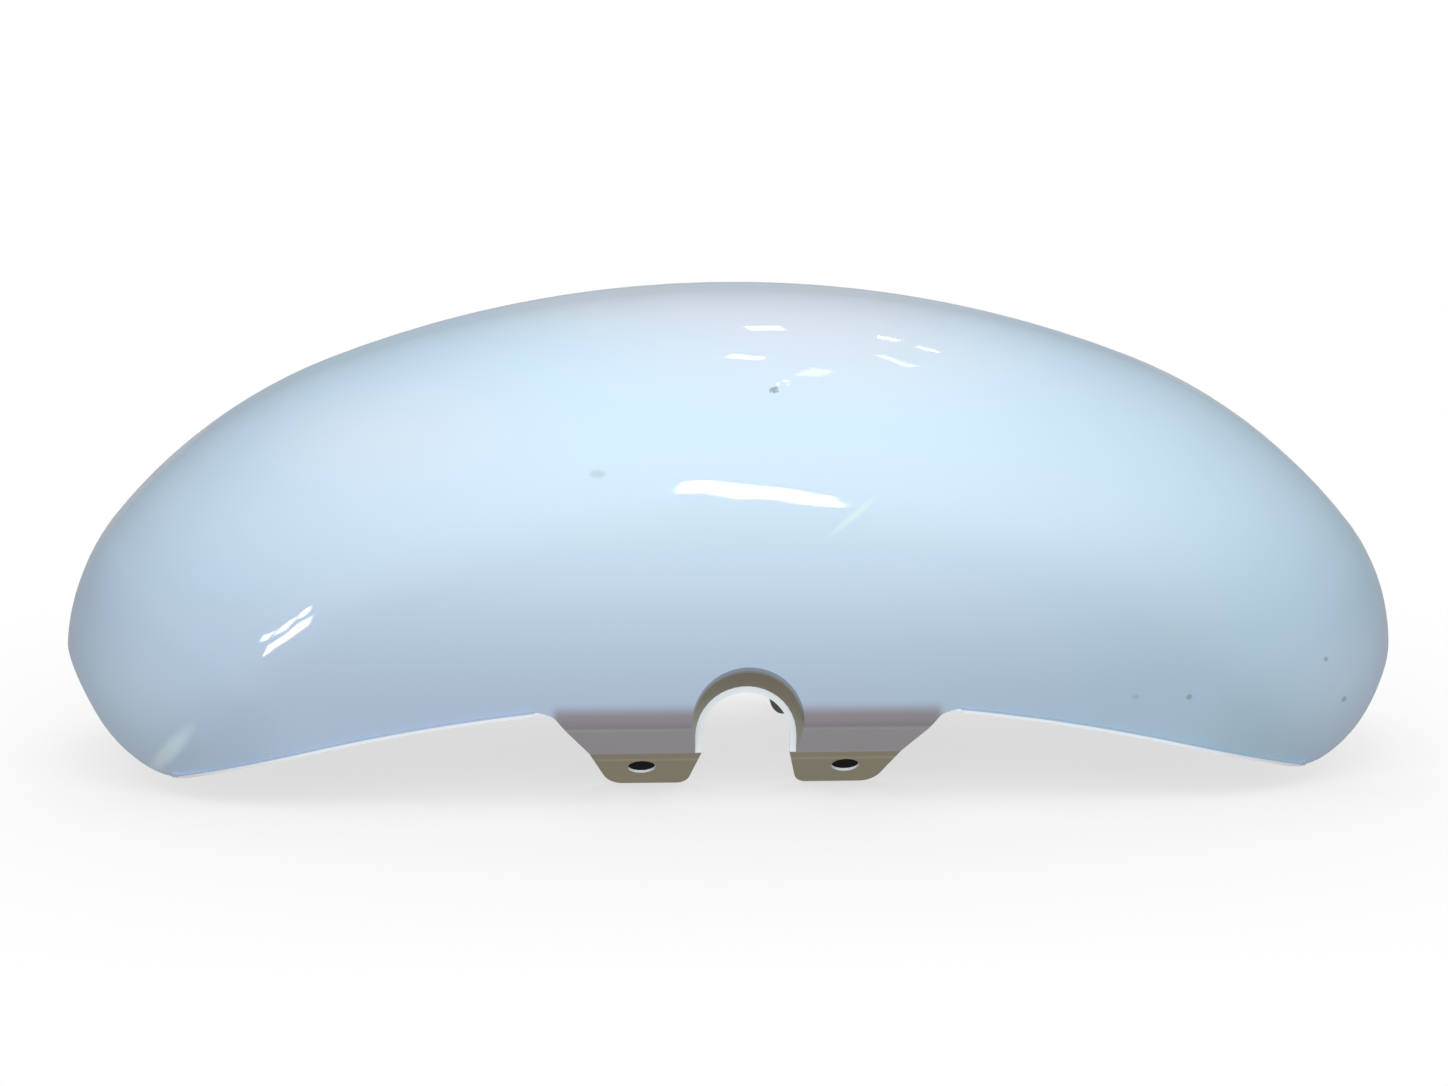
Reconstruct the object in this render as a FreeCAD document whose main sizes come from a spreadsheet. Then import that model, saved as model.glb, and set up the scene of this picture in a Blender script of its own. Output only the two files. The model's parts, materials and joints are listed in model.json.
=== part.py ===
import FreeCAD, Part
import math
import os

import Sketcher
from FreeCAD import Placement, Rotation, Vector

# Scooter front mudguard: one deep-drawn steel sheet.
# X runs along the wheel, Y across it and Z up. The origin is under the middle of the part,
# on the plane of the four tab edges that it stands on. Lengths are millimetres, angles degrees.

# Driving sizes
SIZES = {
    "overall_length": 490.0,
    "overall_height": 174.2,
    "overall_width": 163.0,
    "sheet_thickness": 1.0,
    # Side view of the crown: a flat middle arc, a shoulder arc each way and a round nose
    "crown_radius": 410.0,
    "crown_half_angle": 21.3,
    "shoulder_end_angle": 51.5,
    "nose_radius": 74.0,
    "nose_end_angle": 130.0,
    # Strip along the middle of the crown that stays straight across
    "crown_flat_width": 15.0,
    # Lower edge, with its lifted toes and turned-out bead
    "lower_edge_height": 37.5,
    "lower_edge_radius": 700.0,
    "toe_start": 204.5,
    "toe_lift_angle": 16.0,
    "toe_radius": 50.0,
    "toe_end_angle": 56.0,
    "toe_corner_radius": 20.0,
    "bead_proud": 1.2,
    "bead_height": 1.6,
    # Fork bracket in the middle of each lower edge: a skirt and two tabs, each bent inwards
    "bracket_half_length": 70.0,
    "fold_half_length": 56.0,
    "tab_half_length": 48.0,
    "skirt_drop": 17.6,
    "skirt_angle": 31.0,
    "tab_angle": 50.0,
    "crease_radius": 8.0,
    "fold_radius": 2.0,
    "tab_corner_radius": 8.0,
    "tab_inner_corner_radius": 4.5,
    "bracket_root_radius": 6.0,
    # Notch for the fork leg, with its pressed-in surround
    "notch_half_width": 15.8,
    "notch_foot_half_width": 20.0,
    "notch_arch_height": 22.9,
    "lip_width": 2.3,
    "surround_radius": 20.0,
    "surround_arch_height": 30.6,
    # Bolt holes in the tabs
    "hole_diameter": 10.0,
    "hole_spacing": 73.6,
    "hole_from_fold": 11.6,
    # How far cutting shapes run past what they cut
    "overcut": 30.0,
}

doc = FreeCAD.newDocument("mudguard")
sheet = doc.addObject("Spreadsheet::Sheet", "sizes")
for row, (alias, value) in enumerate(SIZES.items(), start=1):
    sheet.set(f"A{row}", alias)
    sheet.set(f"B{row}", str(value))
    sheet.setAlias(f"B{row}", alias)
doc.recompute()


def size(alias):
    return float(sheet.get(alias))


def angle(alias):
    return math.radians(size(alias))


# Sketch planes: the side view shows X and Z, the cross-section Y and Z
SIDE = Rotation(Vector(1, 0, 0), 90)
CROSS = Rotation(Vector(1, 1, 1), 120)


def new_sketch(name, rotation, offset=Vector()):
    sketch = doc.addObject("Sketcher::SketchObject", name)
    sketch.Placement = Placement(offset, rotation)
    return sketch


def line(start, end):
    return {"geometry": Part.LineSegment(Vector(*start, 0), Vector(*end, 0)), "ends": (1, 2)}


def arc(centre, radius, start, end, binding, clockwise=False):
    """A round stretch between two angles from the sketch's first axis, drawn anticlockwise."""
    circle = Part.Circle(Vector(*centre, 0), Vector(0, 0, 1), radius)
    return {
        "geometry": Part.ArcOfCircle(circle, start, end),
        "ends": (2, 1) if clockwise else (1, 2),
        "radius": radius,
        "binding": binding,
    }


def draw_closed(sketch, pieces):
    """Adds the pieces in order, joins each to the next and binds the radii to the sheet."""
    for piece in pieces:
        sketch.addGeometry(piece["geometry"], False)
    for index, piece in enumerate(pieces):
        following = (index + 1) % len(pieces)
        sketch.addConstraint(Sketcher.Constraint(
            "Coincident", index, piece["ends"][1], following, pieces[following]["ends"][0]))
    for index, piece in enumerate(pieces):
        if "binding" in piece:
            number = sketch.addConstraint(Sketcher.Constraint("Radius", index, piece["radius"]))
            sketch.setExpression(f"Constraints[{number}]", piece["binding"])
    return sketch


def extrude(name, sketch, length):
    """Extrudes a sketch by an expression's length, half to each side of its plane."""
    solid = doc.addObject("Part::Extrusion", name)
    solid.Base = sketch
    solid.DirMode = "Normal"
    solid.Symmetric = True
    solid.Solid = True
    solid.setExpression("LengthFwd", length)
    return solid


def boolean(kind, name, base, tool):
    result = doc.addObject(f"Part::{kind}", name)
    result.Base = base
    result.Tool = tool
    return result


def fuse(name, shapes):
    result = doc.addObject("Part::MultiFuse", name)
    result.Shapes = shapes
    return result


def both_sides(name, right):
    """A shape on the +Y side together with its mirror image across the XZ plane."""
    left = doc.addObject("Part::Mirroring", name + "_left")
    left.Source = right
    left.Normal = Vector(0, 1, 0)
    return fuse(name, [right, left])


def round_edges(name, base, radius_of_edge):
    """Rounds each edge of a solid for which the function gives a radius."""
    doc.recompute()
    rounded = doc.addObject("Part::Fillet", name)
    rounded.Base = base
    radii = [radius_of_edge(edge) for edge in base.Shape.Edges]
    rounded.Edges = [(number, radius, radius) for number, radius in enumerate(radii, start=1) if radius]
    return rounded


def polar(centre, radius, turn):
    """The point at a turn from straight up, positive towards +X."""
    return (centre[0] + radius * math.sin(turn), centre[1] + radius * math.cos(turn))


def mirrored(point):
    return (-point[0], point[1])


# Arc centres of the side view. The shoulder radius follows from the overall length.
crown_turn = angle("crown_half_angle")
shoulder_turn = angle("shoulder_end_angle")
nose_turn = angle("nose_end_angle")
half_length = size("overall_length") / 2
shoulder_radius = (
    half_length - size("nose_radius") * (1 - math.sin(shoulder_turn))
    - size("crown_radius") * math.sin(crown_turn)
) / (math.sin(shoulder_turn) - math.sin(crown_turn))
crown_centre = (0, size("overall_height") - size("crown_radius"))
shoulder_centre = polar(crown_centre, size("crown_radius") - shoulder_radius, crown_turn)
nose_centre = polar(shoulder_centre, shoulder_radius - size("nose_radius"), shoulder_turn)
# The crown rolls over into the flanks at the nose's radius, which gives each nose ball corners
roll_radius = min(size("nose_radius"), (size("overall_width") - size("crown_flat_width")) / 2)
form_floor = -size("overcut")
UPRIGHT = math.pi / 2


def side_outline(name, inset, inset_text):
    """Side view of the whole form, moved inwards by the inset."""
    radii = [size("crown_radius") - inset, shoulder_radius - inset, size("nose_radius") - inset]
    nose_end = polar(nose_centre, radii[2], nose_turn)
    run = (nose_end[1] - form_floor) / math.sin(nose_turn)
    foot = (nose_end[0] + run * math.cos(nose_turn), form_floor)
    crown_text = f"sizes.crown_radius - {inset_text}"
    nose_text = f"sizes.nose_radius - {inset_text}"
    shoulder_text = f"{shoulder_radius} - {inset_text}"
    return draw_closed(new_sketch(name, SIDE), [
        line(foot, nose_end),
        arc(nose_centre, radii[2], UPRIGHT - nose_turn, UPRIGHT - shoulder_turn, nose_text),
        arc(shoulder_centre, radii[1], UPRIGHT - shoulder_turn, UPRIGHT - crown_turn, shoulder_text),
        arc(crown_centre, radii[0], UPRIGHT - crown_turn, UPRIGHT + crown_turn, crown_text),
        arc(mirrored(shoulder_centre), radii[1], UPRIGHT + crown_turn, UPRIGHT + shoulder_turn, shoulder_text),
        arc(mirrored(nose_centre), radii[2], UPRIGHT + shoulder_turn, UPRIGHT + nose_turn, nose_text),
        line(mirrored(nose_end), mirrored(foot)),
        line(mirrored(foot), foot),
    ])


def domed_form(name, inset, inset_text):
    """Solid dome: the side view at full width, with its long edges rolled over."""
    block = extrude(f"{name}_block", side_outline(f"{name}_sketch", inset, inset_text),
                    f"sizes.overall_width - 2 * {inset_text}")

    def rolled(edge):
        across = [vertex.Y for vertex in edge.Vertexes]
        on_one_side = min(across) * max(across) > 0
        return roll_radius - inset if on_one_side and edge.CenterOfMass.z > form_floor / 2 else 0

    return round_edges(name, block, rolled)


thickness = size("sheet_thickness")
outer_dome = domed_form("outer_dome", 0, "0")
inner_dome = domed_form("inner_dome", thickness, "sizes.sheet_thickness")
bead_dome = domed_form("bead_dome", -size("bead_proud"), "(-sizes.bead_proud)")

# Lower edge and the bends of the bracket on the +Y side
edge_centre = (0, size("lower_edge_height") - size("lower_edge_radius"))


def edge_height(x):
    return edge_centre[1] + math.sqrt(size("lower_edge_radius") ** 2 - x ** 2)


def along(point, direction, distance):
    return (point[0] + direction[0] * distance, point[1] + direction[1] * distance)


flank_y = size("overall_width") / 2
crease_height = edge_height(size("bracket_half_length"))
fold_height = crease_height - size("skirt_drop")
skirt_turn = angle("skirt_angle")
tab_turn = angle("tab_angle")
skirt_down = (-math.sin(skirt_turn), -math.cos(skirt_turn))
skirt_out = (math.cos(skirt_turn), -math.sin(skirt_turn))
tab_down = (-math.sin(tab_turn), -math.cos(tab_turn))
tab_out = (math.cos(tab_turn), -math.sin(tab_turn))
crease = (flank_y, crease_height)
fold = along(crease, skirt_down, size("skirt_drop") / math.cos(skirt_turn))
lip_y = fold[0]


def bend_cutter(name, inset, inset_text):
    """Everything outside the skirt and tabs of one side, whose faces lie the inset below."""
    crease_bend = size("crease_radius") + thickness
    fold_bend = size("fold_radius") + thickness
    # Each bend's centre is one bend radius from the two faces that it joins
    crease_centre = (flank_y - crease_bend, crease_height - crease_bend * math.tan(skirt_turn / 2))
    half_turn = (tab_turn - skirt_turn) / 2
    inwards = (-math.cos(skirt_turn + half_turn), math.sin(skirt_turn + half_turn))
    fold_centre = along(fold, inwards, fold_bend / math.cos(half_turn))
    crease_radius = crease_bend - inset
    fold_radius = fold_bend - inset
    start = along(crease_centre, (1, 0), crease_radius)
    skirt_top = along(crease_centre, skirt_out, crease_radius)
    skirt_foot = along(fold_centre, skirt_out, fold_radius)
    tab_top = along(fold_centre, tab_out, fold_radius)
    tab_foot = along(tab_top, tab_down, (tab_top[1] - form_floor) / math.cos(tab_turn))
    outside = flank_y + size("overcut")
    crease_text = f"sizes.crease_radius + sizes.sheet_thickness - {inset_text}"
    fold_text = f"sizes.fold_radius + sizes.sheet_thickness - {inset_text}"
    profile = draw_closed(new_sketch(f"{name}_sketch", CROSS), [
        arc(crease_centre, crease_radius, -skirt_turn, 0, crease_text, clockwise=True),
        line(skirt_top, skirt_foot),
        arc(fold_centre, fold_radius, -tab_turn, -skirt_turn, fold_text, clockwise=True),
        line(tab_top, tab_foot),
        line(tab_foot, (outside, form_floor)),
        line((outside, form_floor), (outside, start[1])),
        line((outside, start[1]), start),
    ])
    return extrude(name, profile, "2 * sizes.bracket_half_length")


def arch(name, depth, half_width, height, binding):
    """Door-shaped outline in a side-view plane at a depth along +Y."""
    foot = (half_width, form_floor)
    spring = (half_width, height)
    return draw_closed(new_sketch(name, SIDE, Vector(0, depth, 0)), [
        line(foot, spring),
        arc((0, height), half_width, 0, math.pi, binding),
        line(mirrored(spring), mirrored(foot)),
        line(mirrored(foot), foot),
    ])


def surround_cutter(name, inset, inset_text):
    """The hollow pressed in round the notch: it narrows from the flank to the flat lip."""
    lip_radius = size("notch_half_width") + size("lip_width") + inset
    mouth_radius = size("surround_radius") + inset
    lip_depth = lip_y - inset
    mouth_depth = flank_y - inset
    outside = flank_y + size("overcut")
    stretch = (outside - lip_depth) / (mouth_depth - lip_depth)
    outside_radius = lip_radius + stretch * (mouth_radius - lip_radius)
    outside_height = size("notch_arch_height") + stretch * (
        size("surround_arch_height") - size("notch_arch_height"))
    lip_text = f"sizes.notch_half_width + sizes.lip_width + {inset_text}"
    cutter = doc.addObject("Part::Loft", name)
    cutter.Sections = [
        arch(f"{name}_lip", lip_depth, lip_radius, size("notch_arch_height"), lip_text),
        arch(f"{name}_mouth", outside, outside_radius, outside_height, f"{outside_radius}"),
    ]
    cutter.Solid = True
    cutter.Ruled = True
    return cutter


def pressed_form(name, dome, inset, inset_text):
    """The dome with the bracket bends and the notch surround pressed into both flanks."""
    bends = both_sides(f"{name}_bends", bend_cutter(f"{name}_bend", inset, inset_text))
    surrounds = both_sides(f"{name}_surrounds", surround_cutter(f"{name}_surround", inset, inset_text))
    return boolean("Cut", name, boolean("Cut", f"{name}_bent", dome, bends), surrounds)


outer_form = pressed_form("outer_form", outer_dome, 0, "0")
inner_form = pressed_form("inner_form", inner_dome, thickness, "sizes.sheet_thickness")
wall = boolean("Cut", "wall", outer_form, inner_form)

# Toe: from the end of the lower edge an arc lifts the sheet's edge, then a straight cut passes the nose
toe = (size("toe_start"), edge_height(size("toe_start")))
toe_radius = size("toe_radius")
toe_centre = polar(toe, toe_radius, -angle("toe_lift_angle"))
toe_end = polar(toe_centre, toe_radius, math.pi - angle("toe_end_angle"))
# Corners of the side view are told apart to this length
SAME_PLACE = 0.01


def blank_outline(name, lift=0):
    """Side view of the trimmed sheet: lower edge, toes, bracket tabs and notch."""
    reach = half_length + size("overcut")
    top = size("overall_height") + size("overcut")
    radius = size("lower_edge_radius")
    lift_turn = angle("toe_lift_angle")
    end_turn = angle("toe_end_angle")
    tip = (reach, toe_end[1] + (reach - toe_end[0]) * math.tan(end_turn))
    root = (size("bracket_half_length"), crease_height)
    bend = (size("fold_half_length"), fold_height)
    tab = (size("tab_half_length"), 0)
    foot = (size("notch_foot_half_width"), 0)
    waist = (size("notch_half_width"), fold_height)
    spring = (size("notch_half_width"), size("notch_arch_height"))
    toe_turn = math.acos(toe[0] / radius)
    root_turn = math.acos(root[0] / radius)
    edge_text = "sizes.lower_edge_radius"
    return draw_closed(new_sketch(name, SIDE, Vector(0, 0, lift)), [
        line(mirrored(tip), mirrored(toe_end)),
        arc(mirrored(toe_centre), toe_radius, -UPRIGHT - end_turn, -UPRIGHT - lift_turn, "sizes.toe_radius"),
        arc(edge_centre, radius, math.pi - root_turn, math.pi - toe_turn, edge_text, clockwise=True),
        line(mirrored(root), mirrored(bend)),
        line(mirrored(bend), mirrored(tab)),
        line(mirrored(tab), mirrored(foot)),
        line(mirrored(foot), mirrored(waist)),
        line(mirrored(waist), mirrored(spring)),
        arc((0, spring[1]), spring[0], 0, math.pi, "sizes.notch_half_width", clockwise=True),
        line(spring, waist),
        line(waist, foot),
        line(foot, tab),
        line(tab, bend),
        line(bend, root),
        arc(edge_centre, radius, toe_turn, root_turn, edge_text, clockwise=True),
        arc(toe_centre, toe_radius, lift_turn - UPRIGHT, end_turn - UPRIGHT, "sizes.toe_radius"),
        line(toe_end, tip),
        line(tip, (reach, top)),
        line((reach, top), (-reach, top)),
        line((-reach, top), mirrored(tip)),
    ])


def blank(name, lift=0):
    """The side view of the trimmed sheet as a block across the part, with rounded corners."""
    corners = {
        toe: size("toe_corner_radius"),
        (size("bracket_half_length"), crease_height): size("bracket_root_radius"),
        (size("tab_half_length"), 0): size("tab_corner_radius"),
        (size("notch_foot_half_width"), 0): size("tab_inner_corner_radius"),
    }

    def corner_radius(edge):
        centre = edge.CenterOfMass
        for (x, z), radius in corners.items():
            if math.hypot(abs(centre.x) - x, centre.z - lift - z) < SAME_PLACE and abs(centre.y) < SAME_PLACE:
                return radius
        return 0

    block = extrude(f"{name}_block", blank_outline(f"{name}_sketch", lift),
                    "sizes.overall_width + 2 * sizes.overcut")
    return round_edges(name, block, corner_radius)


trim = blank("trim")
trimmed = boolean("Common", "trimmed", wall, trim)


def across(name, half_length, half_length_text):
    """A block right across the part, reaching to both sides of its middle."""
    box = doc.addObject("Part::Box", name)
    box.setExpression("Length", f"2 * ({half_length_text})")
    box.setExpression("Width", "sizes.overall_width + 2 * sizes.overcut")
    box.setExpression("Height", "sizes.overall_height + 2 * sizes.overcut")
    box.Placement.Base = Vector(-half_length, -flank_y - size("overcut"), form_floor)
    return box


# Bead: a proud band along the lower edge, from the bracket to the toe
band = boolean("Cut", "bead_band", trim, blank("raised_trim", size("bead_height")))
bead_end = across("bead_end", size("toe_start"), "sizes.toe_start")
bead_start = across("bead_start", size("bracket_half_length") + size("bracket_root_radius"),
                    "sizes.bracket_half_length + sizes.bracket_root_radius")
bead_run = boolean("Cut", "bead_run", bead_end, bead_start)
bead_zone = boolean("Common", "bead_zone", band, bead_run)
bead = boolean("Common", "bead", boolean("Cut", "bead_ring", bead_dome, inner_dome), bead_zone)
edged = fuse("edged", [trimmed, bead])


def bolt_hole(name, x):
    """A drill through one tab, square to its face."""
    drill = doc.addObject("Part::Cylinder", name)
    drill.setExpression("Radius", "sizes.hole_diameter / 2")
    drill.setExpression("Height", "sizes.overcut")
    middle = along(fold, tab_down, size("hole_from_fold"))
    start = along(middle, tab_out, -size("overcut") / 2)
    drill.Placement = Placement(Vector(x, *start), Rotation(Vector(0, 0, 1), Vector(0, *tab_out)))
    return drill


half_spacing = size("hole_spacing") / 2
drills = fuse("drills", [bolt_hole("drill_front", half_spacing), bolt_hole("drill_rear", -half_spacing)])
mudguard = boolean("Cut", "mudguard", edged, both_sides("bolt_holes", drills))
mudguard.Label = "mudguard"
mudguard.Refine = True
doc.recompute()

# Every feature must have been made, and the part must be one sound solid
for item in doc.Objects:
    if "Invalid" in item.State or "Error" in item.State:
        raise RuntimeError(f"{item.Name} failed: {item.State}")
if mudguard.Shape.isNull() or not mudguard.Shape.isValid() or len(mudguard.Shape.Solids) != 1:
    raise RuntimeError("the mudguard is not one sound solid")

os.makedirs("parts", exist_ok=True)
mudguard.Shape.exportStep(f"parts/{mudguard.Label}.step")
middle = along(fold, tab_down, size("hole_from_fold"))
print("mudguard", mudguard.Shape.Volume, "mm3", mudguard.Shape.BoundBox)
print("hole centres at y, z", middle, "facing", tab_out, "lip at y", lip_y, "fold at z", fold_height)
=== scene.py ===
import json
import math

import bpy
from mathutils import Matrix, Vector

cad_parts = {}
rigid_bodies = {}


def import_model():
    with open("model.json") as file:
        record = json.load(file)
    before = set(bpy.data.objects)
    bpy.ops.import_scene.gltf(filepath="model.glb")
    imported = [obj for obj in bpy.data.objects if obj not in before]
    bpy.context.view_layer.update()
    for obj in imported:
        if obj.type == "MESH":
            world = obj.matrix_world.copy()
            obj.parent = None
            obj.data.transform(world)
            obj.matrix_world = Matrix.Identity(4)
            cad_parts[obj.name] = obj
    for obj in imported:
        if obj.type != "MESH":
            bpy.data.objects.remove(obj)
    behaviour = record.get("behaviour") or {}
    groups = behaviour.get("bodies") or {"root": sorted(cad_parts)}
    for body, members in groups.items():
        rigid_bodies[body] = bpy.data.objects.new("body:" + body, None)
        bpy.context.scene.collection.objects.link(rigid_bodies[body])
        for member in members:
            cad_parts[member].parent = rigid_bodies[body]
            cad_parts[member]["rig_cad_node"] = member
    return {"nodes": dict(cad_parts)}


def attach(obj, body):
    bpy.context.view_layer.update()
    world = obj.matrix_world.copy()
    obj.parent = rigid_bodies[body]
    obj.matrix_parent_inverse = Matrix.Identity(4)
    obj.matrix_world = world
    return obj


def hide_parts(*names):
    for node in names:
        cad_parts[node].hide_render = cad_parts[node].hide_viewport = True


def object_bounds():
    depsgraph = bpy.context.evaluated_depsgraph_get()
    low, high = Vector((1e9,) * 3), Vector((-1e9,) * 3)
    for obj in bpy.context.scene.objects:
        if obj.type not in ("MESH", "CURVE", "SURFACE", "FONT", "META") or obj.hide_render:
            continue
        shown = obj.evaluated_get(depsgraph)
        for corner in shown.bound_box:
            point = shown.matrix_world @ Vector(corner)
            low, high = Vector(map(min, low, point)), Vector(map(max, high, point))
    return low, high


# %% [markdown]
# ## The pressed sheet, as it comes from CAD
# A scooter's front mudguard is one deep-drawn steel sheet: a dome over the tyre, with a bracket
# pressed into each side for the fork. It could be modelled again here, but the CAD solid already
# holds every size, so it is loaded, in metres, with X along the wheel and Z up. It is measured
# first, because the painted sheet has to stay inside this box.

# %% Load the solid
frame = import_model()
cad_low, cad_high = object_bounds()
SHEET = "mudguard"
MM = 0.001
print("solid", [round(v / MM, 1) for v in cad_high - cad_low], "mm")

# %% [markdown]
# ## One skin instead of loose triangles
# On the real mudguard the paint flows over the metal in one even skin. The solid's triangles are
# loose, so a smooth shade would break at every one of them. A copy is merged into a single
# connected mesh, which keeps the CAD form to the last corner.

# %% Copy the solid and merge it
SAME_PLACE = 0.005 * MM
bpy.ops.object.select_all(action="DESELECT")
solid = frame["nodes"][SHEET]
solid.select_set(True)
bpy.context.view_layer.objects.active = solid
bpy.ops.object.duplicate()
sheet = bpy.context.object
sheet.name = "painted_sheet"
sheet.data.name = "painted_sheet"
del sheet["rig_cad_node"]
bpy.ops.object.mode_set(mode="EDIT")
bpy.ops.mesh.select_all(action="SELECT")
bpy.ops.mesh.remove_doubles(threshold=SAME_PLACE)
bpy.ops.object.mode_set(mode="OBJECT")
print("merged sheet", len(sheet.data.vertices), "points")

# %% [markdown]
# ## A grid for the flanks to bend on
# The press leaves the tall sides slightly barrel-shaped, but a flat CAD face has no points in its
# middle that could move. So the flat sides are first cut into a grid with bisect planes. Subdivide
# would be shorter, but it follows the long triangles that CAD made. Only the flat faces are cut,
# because slicing the rolled shoulder would put facets on it.

# %% Cut the flat sides into a grid
FLAT = 0.9999
FLANK_DEPTH = 3.5 * MM
ROWS = range(10, 105, 6)
COLUMNS = range(-204, 205, 12)


def cut_flanks(through, facing):
    bpy.ops.object.mode_set(mode="OBJECT")
    for face in sheet.data.polygons:
        outside = abs(face.center.y) > cad_high.y - FLANK_DEPTH
        face.select = outside and abs(face.normal.y) > FLAT
    bpy.ops.object.mode_set(mode="EDIT")
    bpy.ops.mesh.select_mode(type="FACE")
    bpy.ops.mesh.bisect(plane_co=through, plane_no=facing)


for row in ROWS:
    cut_flanks((0, 0, row * MM), (0, 0, 1))
for column in COLUMNS:
    cut_flanks((column * MM, 0, 0), (1, 0, 0))
bpy.ops.object.mode_set(mode="OBJECT")
print("grid on the flanks", len(sheet.data.polygons), "faces")

# %% [markdown]
# ## Rims with painted highlight and a recess with painted shade
# The bead along the lower edge, the lip of the notch and the walls of the bolt holes get a painted
# highlight, as edges that catch the light, while the recess pressed in round the notch gets painted
# shade. They could be materials of their own, but one paint is easier to keep even. So each face
# gets a number, 1 where it belongs to the rim or the recess, that the paint reads later. This is
# done while every face still lies where CAD put it.

# %% Note the bead on the lower edge
EDGE_HEIGHT = 37.5 * MM
EDGE_RADIUS = 700 * MM
BEAD_START = 72 * MM
BEAD_END = 206 * MM
BEAD_HEIGHT = 1.65 * MM
BEAD_CURL = 1 * MM
BEAD_FACING = 0.5


def note_faces(name, belongs):
    zone = sheet.data.attributes.new(name, "FLOAT", "FACE")
    for face in sheet.data.polygons:
        zone.data[face.index].value = belongs(face)
    print(name, "faces", sum(1 for face in zone.data if face.value))


def is_bead(face):
    along = abs(face.center.x)
    edge = EDGE_HEIGHT - EDGE_RADIUS + math.sqrt(EDGE_RADIUS ** 2 - along ** 2)
    top = edge + BEAD_HEIGHT
    curled = face.center.z < top + BEAD_CURL and face.normal.z > BEAD_FACING
    return BEAD_START < along < BEAD_END and (face.center.z < top or curled)


print("bead rises", round(BEAD_HEIGHT / MM, 2), "mm above the edge")

# %% Note the lip of the notch and the hole walls
LIP_DEPTH = 70.9 * MM
LIP_SLACK = 0.3 * MM
LIP_FACING = 0.9
NOTCH_RADIUS = 15.8 * MM
NOTCH_ARCH = 22.9 * MM
CUT_SLACK = 0.4 * MM
FOLD_HEIGHT = 16.4 * MM
RECESS_HALF_WIDTH = 20.4 * MM
HOLE_PLACE = Vector((36.8, 61.7, 9.3)) * MM
HOLE_REACH = 5.5 * MM
TAB_FACING = Vector((0, 0.643, -0.766))
WALL_FACING = 0.5


def is_lip(face):
    level = abs(abs(face.center.y) - LIP_DEPTH) < LIP_SLACK and abs(face.normal.y) > LIP_FACING
    return level and abs(face.center.x) < RECESS_HALF_WIDTH


def is_cut(face):
    from_arch = math.hypot(face.center.x, max(0, face.center.z - NOTCH_ARCH))
    return abs(from_arch - NOTCH_RADIUS) < CUT_SLACK and face.center.z > FOLD_HEIGHT


def is_hole_wall(face):
    side = math.copysign(1, face.center.y)
    place = (abs(face.center.x), abs(face.center.y), face.center.z)
    facing = Vector((face.normal.x, face.normal.y * side, face.normal.z)).dot(TAB_FACING)
    return math.dist(place, HOLE_PLACE) < HOLE_REACH and abs(facing) < WALL_FACING


def is_rim(face):
    return is_bead(face) or is_lip(face) or is_cut(face) or is_hole_wall(face)


note_faces("rim", is_rim)

# %% Note the recess round the notch
RECESS_TOP = 56 * MM
RECESS_FACING = 0.97


def is_recess(face):
    outward = face.normal.y * math.copysign(1, face.center.y)
    around = abs(face.center.x) < RECESS_HALF_WIDTH and FOLD_HEIGHT < face.center.z < RECESS_TOP
    return around and 0 < outward < RECESS_FACING


note_faces("recess", is_recess)

# %% [markdown]
# ## Flanks that belly out a little
# The real sides are fullest at the shoulder and tucked in by a millimetre or so at the lower edge.
# A lattice could do this bending, but one line of arithmetic is exact: the further a point lies
# below the belly, the more its distance from the middle shrinks.

# %% Tuck the lower sides in
TUCK = 0.035
BELLY_HEIGHT = 95 * MM


def tuck(level):
    below = max(0, BELLY_HEIGHT - level) / BELLY_HEIGHT
    return 1 - TUCK * below ** 2


for point in sheet.data.vertices:
    point.co.y *= tuck(point.co.z)
print("tuck at the lower edge", round(cad_high.y * (1 - tuck(EDGE_HEIGHT)) / MM, 2), "mm")

# %% [markdown]
# ## Smooth dome, crisp edges
# Gloss paint shows every kink, so the shading matters more than the points. The whole sheet is
# shaded smooth, then every edge where two faces meet steeply, such as the cut rim, is selected and
# marked sharp. The press has also left a crisp line round the recess of the notch, so the outline
# of the faces noted there is marked too. A Weighted Normal modifier then lets the big faces lead
# the small slivers, so that a highlight runs straight across the seams between CAD faces.

# %% Shade smooth and mark the steep edges
SHARP_ANGLE = math.radians(22)
bpy.ops.object.shade_smooth()
bpy.ops.object.mode_set(mode="EDIT")
bpy.ops.mesh.select_mode(type="EDGE")
bpy.ops.mesh.select_all(action="SELECT")
bpy.ops.mesh.mark_sharp(clear=True)
bpy.ops.mesh.select_all(action="DESELECT")
bpy.ops.mesh.edges_select_sharp(sharpness=SHARP_ANGLE)
bpy.ops.mesh.mark_sharp()
bpy.ops.mesh.select_mode(type="FACE")
bpy.ops.mesh.select_all(action="DESELECT")
bpy.ops.object.mode_set(mode="OBJECT")
print("steep edges", sum(1 for side in sheet.data.edges if side.use_edge_sharp))

# %% Mark the outline of the recess
noted = sheet.data.attributes["recess"].data
for face in sheet.data.polygons:
    face.select = noted[face.index].value > 0
bpy.ops.object.mode_set(mode="EDIT")
bpy.ops.mesh.region_to_loop()
bpy.ops.mesh.mark_sharp()
bpy.ops.object.mode_set(mode="OBJECT")
print("recess outline", sum(1 for side in sheet.data.edges if side.select), "edges")

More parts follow.
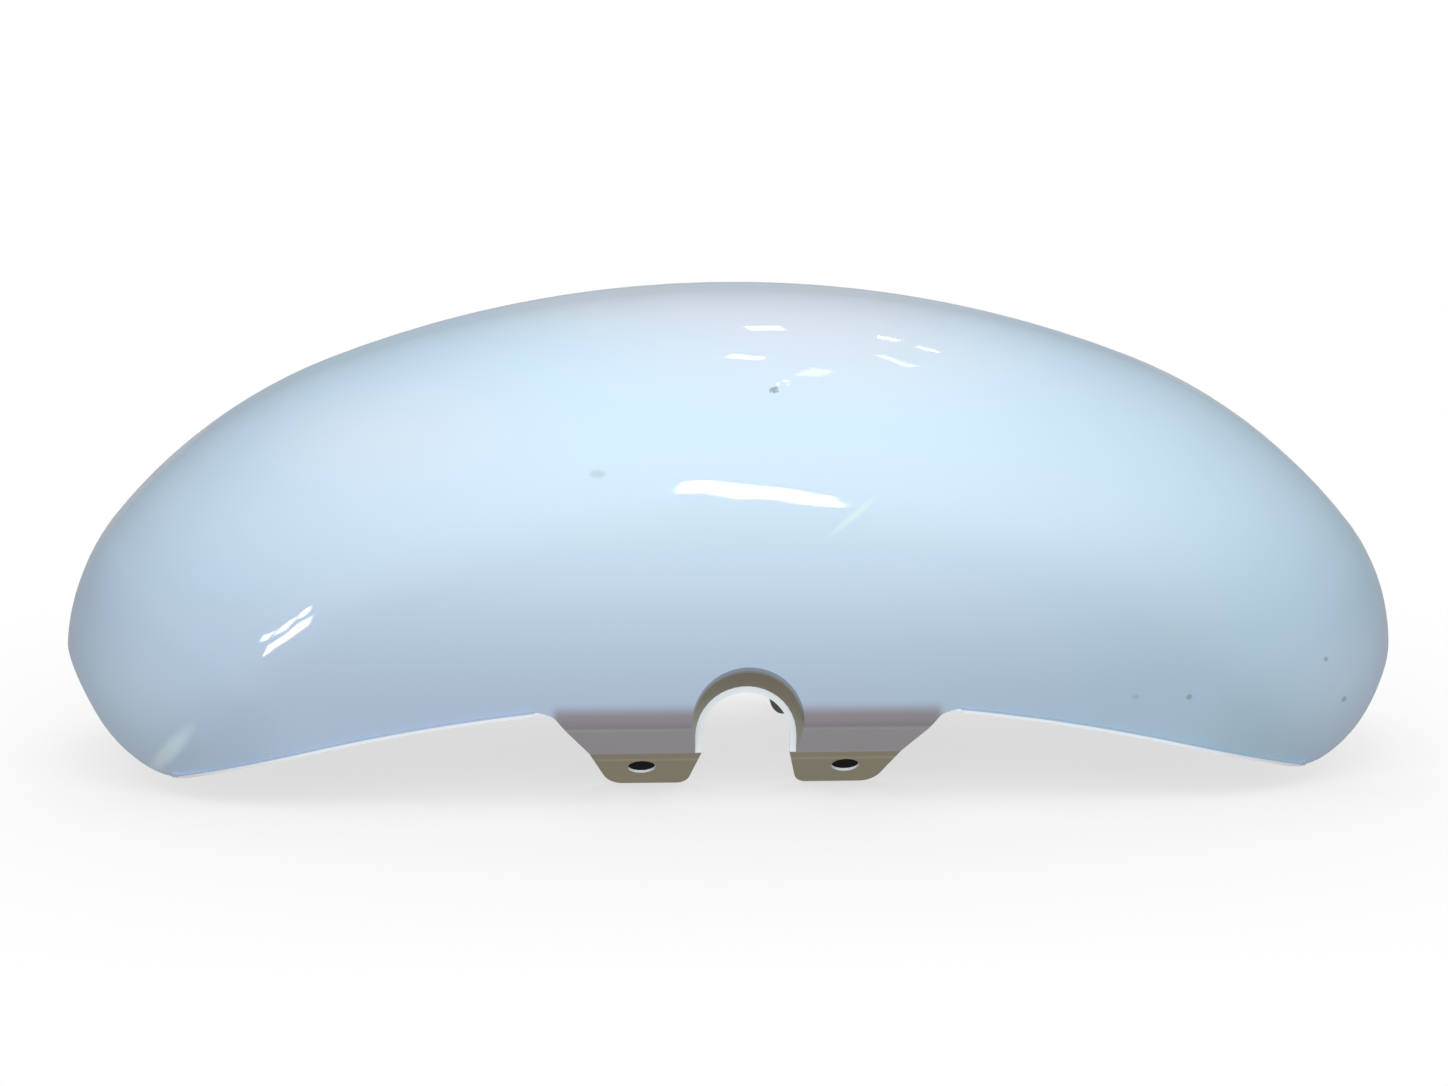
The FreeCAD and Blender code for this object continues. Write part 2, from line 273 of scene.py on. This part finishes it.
# %% Even the normals
even = sheet.modifiers.new("even_normals", "WEIGHTED_NORMAL")
even.keep_sharp = True
bpy.ops.object.modifier_apply(modifier=even.name)
print("sheet stands", round(max(v.co.z for v in sheet.data.vertices) / MM, 1), "mm high")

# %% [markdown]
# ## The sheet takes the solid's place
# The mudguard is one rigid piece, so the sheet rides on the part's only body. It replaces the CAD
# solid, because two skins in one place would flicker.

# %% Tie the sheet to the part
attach(sheet, "root")
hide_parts(SHEET)
print(sheet.name, "replaces", SHEET)

# %% [markdown]
# ## Sums with shader nodes
# A paint that changes over the surface is a small calculation: how far is this point from a chip,
# how low on the flank is it? Nodes can do such sums but are hard to read in code. This little class
# wraps one socket, so that `1 - mask` or `a * b` adds the Math node by itself, and one method makes
# any other node.


# %% A socket that can be used in sums
class Wire:
    def __init__(self, tree, socket=None):
        self.tree = tree
        self.socket = socket

    def node(self, kind, settings, sockets, output=0):
        made = self.tree.nodes.new(kind)
        for name, value in settings.items():
            setattr(made, name, value)
        for name, value in sockets.items():
            if isinstance(value, Wire):
                self.tree.links.new(value.socket, made.inputs[name])
            else:
                made.inputs[name].default_value = value
        return Wire(self.tree, made.outputs[output] if made.outputs else None)

    def also(self, output):
        return Wire(self.tree, self.socket.node.outputs[output])

    def math(self, operation, first, second):
        return self.node("ShaderNodeMath", {"operation": operation}, {0: first, 1: second})

    def __add__(self, other):
        return self.math("ADD", self, other)

    def __radd__(self, other):
        return self.math("ADD", other, self)

    def __sub__(self, other):
        return self.math("SUBTRACT", self, other)

    def __rsub__(self, other):
        return self.math("SUBTRACT", other, self)

    def __mul__(self, other):
        return self.math("MULTIPLY", self, other)

    def __rmul__(self, other):
        return self.math("MULTIPLY", other, self)

    def rise(self, start, end):
        settings = {"interpolation_type": "SMOOTHSTEP"}
        return self.node("ShaderNodeMapRange", settings, {0: self, 1: start, 2: end})

    def blend(self, colour, other):
        settings = {"data_type": "RGBA"}
        return self.node("ShaderNodeMix", settings, {0: self, 6: colour, 7: other}, output=2)


def empty_tree(owner):
    owner.use_nodes = True
    owner.node_tree.nodes.clear()
    return Wire(owner.node_tree)


print("sums ready")

# %% [markdown]
# ## Where the paint carries painted shade
# The sheet is sprayed a cool white and baked glossy. The lower flanks and the ends get a painted
# grey shade, darker towards the bottom, and the bracket under them gets the darkest painted shade.
# A painted image could hold that, but soft masks by place do it without a picture and follow the
# object wherever it goes. Each mask is a number from 0 to 1 that changes between two places on the
# object, given here in millimetres.

# %% Masks for painted light and shade on the dome
LOWER_SHADE_HEIGHTS = (30, 112)
CROWN_HEIGHTS = (158, 172)
END_PLACES = (40, 235)
TOE_PLACES = (170, 232)
TOE_HEIGHTS = (35, 80)
RIGHT_PLACES = (20, 200)


def fade(measure, span):
    start, end = span
    return measure.rise(start * MM, end * MM)


paint = bpy.data.materials.new("white_paint")
painter = empty_tree(paint)
spot = painter.node("ShaderNodeTexCoord", {}, {}, output="Object")
axes = spot.node("ShaderNodeSeparateXYZ", {}, {0: spot})
height = axes.also("Z")
along = spot.math("ABSOLUTE", axes.also("X"), 0)
# Painted shade: the lower flank turns greyer towards the bottom.
lower_shade = 1 - fade(height, LOWER_SHADE_HEIGHTS)
# Painted light on the crown.
crown = fade(height, CROWN_HEIGHTS)
# Painted shade towards both ends.
ends = fade(along, END_PLACES)
toes = fade(along, TOE_PLACES) * (1 - fade(height, TOE_HEIGHTS))
right_side = fade(axes.also("X"), RIGHT_PLACES)
print("film thins out between", LOWER_SHADE_HEIGHTS, "mm")

# %% Masks for the bracket
SKIRT_HEIGHTS = (32.2, 38.3)
SKIRT_PLACES = (67, 71)
CREASE_HEIGHTS = (26.9, 28.75)
TAB_HEIGHTS = (15.4, 16.6)
TAB_PLACES = (60, 64)
FOLD_BOTTOM = (11.9, 12.6)
FOLD_TOP = (13.2, 13.9)
# Painted shade on the bracket: the skirt and its crease darker, the tab a brownish olive shade, and
# a painted highlight along the fold.
skirt = (1 - fade(height, SKIRT_HEIGHTS)) * (1 - fade(along, SKIRT_PLACES))
crease = fade(height, CREASE_HEIGHTS)
tab = (1 - fade(height, TAB_HEIGHTS)) * (1 - fade(along, TAB_PLACES))
fold_highlight = fade(height, FOLD_BOTTOM) * (1 - fade(height, FOLD_TOP))
print("skirt starts between", SKIRT_HEIGHTS, "mm")

# %% Masks from the noted faces
MOUTH_DEPTHS = (77.2, 79.8)
BEAD_TOP_HEIGHTS = (0.9, 1.3)
BEAD_PLACES = (60, 70)


def read_note(name):
    return spot.node("ShaderNodeAttribute", {"attribute_name": name}, {}, output="Fac")


outward = spot.math("ABSOLUTE", axes.also("Y"), 0)
# Painted shade in the recess, fading out at its mouth.
recess = read_note("recess") * (1 - fade(outward, MOUTH_DEPTHS))
arc = spot.math("SQRT", EDGE_RADIUS ** 2 - along * along, 0)
lower_edge = arc + (EDGE_HEIGHT - EDGE_RADIUS)
bead_top = fade(height - lower_edge, BEAD_TOP_HEIGHTS) * fade(along, BEAD_PLACES)
# Painted highlight on the rims, apart from the bead's top.
rim = read_note("rim") * (1 - bead_top)
print("recess fades at its mouth between", MOUTH_DEPTHS, "mm")

# %% [markdown]
# ## White gloss paint, with painted light and shade
# Under a grey sky the white of the dome looks blue, so it is painted blue, and the crown is painted
# a more neutral white, as painted light. Painted shade greys the lower flanks and the ends, a
# little greener on the right, and turns the bracket grey and brownish olive, with a painted
# highlight on the fold and on the rims. The colours are laid over each other from the widest to the
# smallest, as a sprayer would, so each mask only has to know its own place.

# %% The colours of the paint
COOL_WHITE = (0.68, 0.86, 1.0, 1)
CROWN_LIGHT_WHITE = (0.79, 0.87, 0.97, 1)
SHADE_GREY = (0.45, 0.56, 0.715, 1)
SHADE_CYAN = (0.395, 0.55, 0.66, 1)
END_SHADE = 0.45
TOE_GREY = (0.57, 0.71, 0.86, 1)
SKIRT_SHADE_GREY = (0.47, 0.47, 0.50, 1)
CREASE_SHADE_GREY = (0.285, 0.265, 0.295, 1)
TAB_SHADE_OLIVE = (0.43, 0.40, 0.275, 1)
FOLD_HIGHLIGHT = (0.54, 0.48, 0.34, 1)
RECESS_SHADE_OLIVE = (0.30, 0.27, 0.19, 1)
RIM_HIGHLIGHT_WHITE = (0.89, 0.95, 1.0, 1)
# The grey of the painted shade, a little greener on the right side.
shade_tone = right_side.blend(SHADE_GREY, SHADE_CYAN)
# Painted light: the crown is painted a more neutral white than the blue flanks.
colour = crown.blend(COOL_WHITE, CROWN_LIGHT_WHITE)
# Painted shade on the lower flanks.
colour = lower_shade.blend(colour, shade_tone)
# Painted shade towards the ends.
colour = (ends * END_SHADE).blend(colour, shade_tone)
colour = toes.blend(colour, TOE_GREY)
# Painted shade on the skirt, different again at the crease.
colour = skirt.blend(colour, crease.blend(SKIRT_SHADE_GREY, CREASE_SHADE_GREY))
# Painted shade on the tab, with a painted highlight on the fold.
colour = tab.blend(colour, fold_highlight.blend(TAB_SHADE_OLIVE, FOLD_HIGHLIGHT))
# Painted shade in the recess.
colour = recess.blend(colour, RECESS_SHADE_OLIVE)
# Painted highlight on the bead, the notch's lip and cut edge and the hole walls.
colour = rim.blend(colour, RIM_HIGHLIGHT_WHITE)
print("paint", COOL_WHITE[:3], "under a film", SHADE_GREY[:3])

# %% [markdown]
# ## Marks, painted glints and painted reflections
# The photographed mudguard has a small dark chip near the top of the shoulder with three tiny
# scratches beside it, painted pure white as glints, a faint rub to the left, four road specks at
# the lower right, two painted reflections drawn as pale streaks, and a slightly warm tint on the
# crown. Decals could carry them, but they would need pictures. Here each is the distance from one
# place, divided by how far the mark reaches, turned into a soft mask. A little noise frays its
# edge.

# %% A mark at one place
FRAY_SCALE = 900
NOISE_MEAN = 0.5
fray_noise = {"Vector": spot, "Scale": FRAY_SCALE, "Detail": 2.0}
fray = spot.node("ShaderNodeTexNoise", {}, fray_noise) - NOISE_MEAN


def ring(where, middle, reach, turn=0.0):
    sockets = {
        "Vector": where,
        "Location": Vector(middle) * MM,
        "Rotation": (0, math.radians(turn), 0),
        "Scale": Vector(reach) * MM,
    }
    share = where.node("ShaderNodeMapping", {"vector_type": "TEXTURE"}, sockets)
    length = {"operation": "LENGTH"}
    return where.node("ShaderNodeVectorMath", length, {0: share}, output="Value")


def mark(middle, reach, turn=0.0, soft=0.5, frayed=0.0):
    return 1 - (ring(spot, middle, reach, turn) + fray * frayed).rise(1 - soft, 1 + soft)


print("noise frays marks at a scale of", FRAY_SCALE)

# %% Place the marks
warm_tint = (mark((28, -47, 160), (62, 26, 16), soft=0.9)
             + 0.6 * mark((-127, -63, 133), (42, 24, 16), soft=0.9))
chip = mark((9.1, -64.5, 147.2), (1.5, 1.4, 1.2), soft=0.3, frayed=2.2)
# Painted highlight: three tiny scratches, painted pure white as glints.
scratch_glints = (mark((10.6, -62.9, 149.1), (0.7, 0.9, 0.7), soft=0.4)
             + mark((13.5, -62.0, 150.0), (1.3, 0.8, 0.5), soft=0.4)
             + mark((14.2, -63.0, 148.7), (0.6, 0.6, 0.4), soft=0.4))
rub = mark((-53.5, -77.5, 119.9), (2.5, 4, 1.2), soft=0.5, frayed=1.0)
specks = (mark((157.7, -80.4, 38.2), (1.0, 4, 0.9), soft=0.6, frayed=1.0)
          + mark((218, -63, 32.4), (1.0, 2, 0.9), soft=0.6, frayed=1.0)
          + mark((209.2, -69.8, 49.1), (0.8, 2, 0.8), soft=0.6, frayed=1.0)
          + 0.5 * mark((138.4, -80.5, 38.3), (1.3, 4, 0.8), soft=0.6, frayed=1.0))
# Painted reflections: two pale streaks where light is mirrored.
painted_reflections = (0.75 * mark((35.5, -81.1, 104.5), (9.5, 6, 1.1), turn=-40, soft=0.6)
           + 0.6 * mark((-205, -67, 18.5), (13, 14, 2.6), turn=-52, soft=0.6))
print("marks placed")

# %% Colour the marks
WARM_WHITE = (0.80, 0.83, 0.90, 1)
REFLECTION_WHITE = (0.78, 0.95, 1.0, 1)
RUB_GREY = (0.52, 0.60, 0.68, 1)
SPECK_GREY = (0.17, 0.21, 0.26, 1)
CHIP_GREY = (0.16, 0.20, 0.25, 1)
SCRATCH_GLINT_WHITE = (1.0, 1.0, 1.0, 1)
for mask, strength, tone in (
    (warm_tint, 0.6, WARM_WHITE),
    # painted reflections
    (painted_reflections, 1.0, REFLECTION_WHITE),
    (rub, 0.6, RUB_GREY),
    (specks, 0.55, SPECK_GREY),
    (chip, 0.6, CHIP_GREY),
    # scratches painted white as glints
    (scratch_glints, 1.0, SCRATCH_GLINT_WHITE),
):
    colour = (mask * strength).blend(colour, tone)
print("marks coloured")

# %% [markdown]
# ## Gloss
# Sprayed enamel is never quite flat: it has a fine ripple, which makes a lamp's reflection waver at
# its edge. A low roughness alone would mirror the white too evenly. So a clear coat over the white
# gives the sharp reflection, and a very low bump gives the ripple. Where the lower flanks carry the
# painted shade the coat is weaker, and in the chip there is none.

# %% Build the paint
RIPPLE_SCALE = 240
RIPPLE_DEPTH = 0.1 * MM
COAT = 0.5
COAT_LOST_LOWER = 0.4
ripple_noise = {"Vector": spot, "Scale": RIPPLE_SCALE, "Detail": 1.0}
ripple = spot.node("ShaderNodeTexNoise", {}, ripple_noise)
waver = {"Strength": 0.05, "Distance": RIPPLE_DEPTH, "Height": ripple}
enamel = spot.node("ShaderNodeBsdfPrincipled", {}, {
    "Base Color": colour,
    "Roughness": 0.45,
    "Specular IOR Level": 0.2,
    "Coat Weight": COAT * (1 - lower_shade * COAT_LOST_LOWER) * (1 - chip),
    "Coat Roughness": 0.04,
    "Normal": spot.node("ShaderNodeBump", {}, waver),
})
painter.node("ShaderNodeOutputMaterial", {}, {"Surface": enamel})
sheet.data.materials.clear()
sheet.data.materials.append(paint)
print("paint has", len(painter.tree.nodes), "nodes")

# %% [markdown]
# ## A white floor that keeps the shadow
# The photograph's ground is plain white with a soft shadow under the sheet. A lit white plane would
# come out grey, and more light would burn the paint out. So rays from the camera, and some of those
# mirrored in the gloss, meet a floor that shines white by itself and turns grey where the sheet
# shuts out the sky, which Ambient Occlusion measures. Light that bounces off the floor comes back
# warm and dim, as in a workshop.

# %% Lay the floor
FLOOR_SIZE = 30
bpy.ops.mesh.primitive_plane_add(size=FLOOR_SIZE)
floor = bpy.context.object
floor.name = "floor"
ground = bpy.data.materials.new("floor")
layer = empty_tree(ground)
print("floor", [round(v, 1) for v in floor.dimensions[:2]], "m")

# %% Shade the floor under the sheet
FLOOR_WHITE = (1, 1, 1, 1)
FLOOR_SHADE = (0.65, 0.65, 0.65, 1)
SHADOW_REACH = 0.2
sky_reach = {"Distance": SHADOW_REACH}
open_sky = layer.node("ShaderNodeAmbientOcclusion", {"samples": 16}, sky_reach, output="AO")
shade = open_sky.blend(FLOOR_SHADE, FLOOR_WHITE)
print("shadow reaches", SHADOW_REACH, "m")

# %% [markdown]
# ## Dark behind the bolt holes
# Through its bolt holes the real bracket shows only the dark space under the dome. The glowing
# floor would show there as two white dots. Darkening all of the floor under the sheet would blacken
# the open notch as well, so it is dark only in two small soft places behind the holes.

# %% Darken the floor behind the holes
DARK = (0.01, 0.01, 0.01, 1)
DARK_PLACES = ((40.2, -17, 0), (-33.4, -17, 0))
DARK_REACH = (6.4, 19, 1)
DARK_FADE = (1.1, 1.7)
under = layer.node("ShaderNodeTexCoord", {}, {}, output="Object")
for dark_place in DARK_PLACES:
    behind_hole = 1 - ring(under, dark_place, DARK_REACH).rise(*DARK_FADE)
    shade = behind_hole.blend(shade, DARK)
print("dark places", len(DARK_PLACES))

# %% Let each ray meet its own floor
FLOOR_BOUNCE = (0.30, 0.275, 0.26, 1)
GLOSS_SHARE = 0.4
ray = layer.node("ShaderNodeLightPath", {}, {}, output="Is Camera Ray")
mirrored = GLOSS_SHARE * ray.also("Is Glossy Ray")
in_sight = ray + mirrored + ray.also("Is Transmission Ray")
seen = layer.node("ShaderNodeEmission", {}, {"Color": shade, "Strength": 1.0})
bounce = layer.node("ShaderNodeEmission", {}, {"Color": FLOOR_BOUNCE, "Strength": 1.0})
both = layer.node("ShaderNodeMixShader", {}, {0: in_sight, 1: bounce, 2: seen})
layer.node("ShaderNodeOutputMaterial", {}, {"Surface": both})
floor.data.materials.append(ground)
print("floor has", len(layer.tree.nodes), "nodes")

# %% [markdown]
# ## The room
# The floor fills the camera's view, so the world is there only for its light. It is weak, even and
# a little blue, like a bright hall on a grey day. A sky picture would give livelier reflections,
# but the script uses no image, and the streaks in the gloss get lamps of their own.

# %% Set the world
ROOM_COLOUR = (0.90, 0.96, 1.0, 1)
ROOM_LEVEL = 0.45
world = bpy.data.worlds.new("studio")
bpy.context.scene.world = world
room = empty_tree(world)
sky = room.node("ShaderNodeBackground", {}, {"Color": ROOM_COLOUR, "Strength": ROOM_LEVEL})
room.node("ShaderNodeOutputWorld", {}, {"Surface": sky})
print("room level", ROOM_LEVEL)

# %% [markdown]
# ## The main lamp
# One large soft lamp stands in front and above, so that the rolled shoulder, which faces it, is the
# brightest part, and the crown and the lower flank fall away. It isn't shown to the gloss, where it
# would be a big square.

# %% Hang the soft box
TARGET = Vector((0, 0, 0.09))


def lamp(name, place, wide, tall, power):
    bpy.ops.object.light_add(type="AREA", location=place)
    made = bpy.context.object
    made.name = name
    made.data.shape = "RECTANGLE"
    made.data.size = wide
    made.data.size_y = tall
    made.data.energy = power
    made.rotation_euler = (TARGET - made.location).to_track_quat("-Z", "Y").to_euler()
    made.visible_camera = False
    return made


soft_box = lamp("soft_box", (-0.05, -1.87, 1.17), wide=1.3, tall=1.0, power=30)
soft_box.visible_glossy = False
print(soft_box.name, soft_box.data.energy, "W")

# %% [markdown]
# ## Streaks in the gloss
# The bright streaks on the real sheet are windows and ceiling tubes, mirrored. White paint could
# fake them, but it would stay put when the view turns. So small lamps are hung where the camera's
# view, mirrored in the sheet at the streak, comes out. They shine on the gloss alone.

# %% Lamps that only the gloss shows


def glare_lamp(name, place, wide, tall, glare):
    made = lamp(name, place, wide, tall, power=math.pi * glare * wide * tall)
    made.visible_diffuse = False
    return made


def strip(name, start, end, thick, glare):
    start, end = Vector(start), Vector(end)
    middle = (start + end) / 2
    run = (end - start).normalized()
    toward = TARGET - middle
    back = -(toward - run * toward.dot(run)).normalized()
    made = glare_lamp(name, middle, (end - start).length, thick, glare)
    made.rotation_euler = Matrix((run, back.cross(run), back)).transposed().to_euler()


def tube_row(name, start, end, count, wide, tall, glare):
    for number in range(count):
        place = Vector(start).lerp(Vector(end), (number + 0.5) / count)
        glare_lamp(f"{name}_{number}", place, wide, tall, glare)


tube_row("window", (0.053, -2.501, 0.733), (0.339, -2.549, 0.358), 8, 0.037, 0.29, 44)

# %% Hang the strips
strip("low_strip", (-0.241, -0.371, 0.031), (-0.203, -0.376, 0.044), 0.019, 60)
strip("low_spot_left", (-0.263, -0.365, 0.062), (-0.250, -0.368, 0.061), 0.012, 45)
strip("low_spot_middle", (-0.244, -0.369, 0.063), (-0.230, -0.372, 0.061), 0.012, 55)
strip("low_spot_right", (-0.226, -0.373, 0.068), (-0.217, -0.374, 0.069), 0.015, 55)
strip("ceiling_left", (0.117, 0.562, 1.424), (0.181, 0.570, 1.414), 0.085, 50)
strip("ceiling_right", (0.378, 0.535, 1.394), (0.416, 0.531, 1.386), 0.055, 45)
strip("ceiling_far_right", (0.474, 0.450, 1.400), (0.488, 0.420, 1.407), 0.04, 45)
strip("ceiling_near_left", (0.077, -0.006, 1.554), (0.146, -0.025, 1.550), 0.07, 25)
strip("ceiling_near_right", (0.234, -0.249, 1.523), (0.276, -0.260, 1.515), 0.15, 9)
strip("ceiling_faint", (0.414, 0.093, 1.500), (0.452, 0.123, 1.487), 0.11, 9)

# %% [markdown]
# ## The camera
# The photograph was taken from a little above, almost square to the flank, with a long lens. Its
# place was found by fitting the sheet's outline to the photograph. A Track To constraint could aim
# the camera, but it has no roll. So the view is built from three directions and then turned until
# the aim point falls on its pixel, which needs no lens shift.

# %% Find the camera's directions
PHOTO_WIDTH = 1448
PHOTO_HEIGHT = 1086
AIM_PIXEL = (733.2, 517.1)
FOCAL_PIXELS = 4042.2
ELEVATION = math.radians(11.785)
YAW = math.radians(4.354)
ROLL = math.radians(0.544)
level = Vector((math.cos(YAW), -math.sin(YAW), 0))
ahead = Vector((math.sin(YAW), math.cos(YAW), 0))
forward = ahead * math.cos(ELEVATION) - Vector((0, 0, math.sin(ELEVATION)))
upright = level.cross(forward)
right = level * math.cos(ROLL) + upright * math.sin(ROLL)
up = upright * math.cos(ROLL) - level * math.sin(ROLL)
across = (PHOTO_WIDTH / 2 - AIM_PIXEL[0]) / FOCAL_PIXELS
down = (PHOTO_HEIGHT / 2 - AIM_PIXEL[1]) / FOCAL_PIXELS
axis = (forward + right * across - up * down).normalized()
right = (right - axis * right.dot(axis)).normalized()
up = right.cross(axis)
print("camera looks along", [round(v, 3) for v in axis])

# %% Place the camera
AIM = Vector((0, 0, 0.088))
DISTANCE = 1.5
SENSOR = 36
bpy.ops.object.camera_add()
camera = bpy.context.object
eye = Matrix.Translation(AIM - forward * DISTANCE)
camera.matrix_world = eye @ Matrix((right, up, -axis)).transposed().to_4x4()
camera.data.sensor_width = SENSOR
camera.data.lens = FOCAL_PIXELS * SENSOR / PHOTO_WIDTH
bpy.context.scene.camera = camera
bpy.context.scene.view_settings.view_transform = "Standard"
print("lens", round(camera.data.lens, 1), "mm")
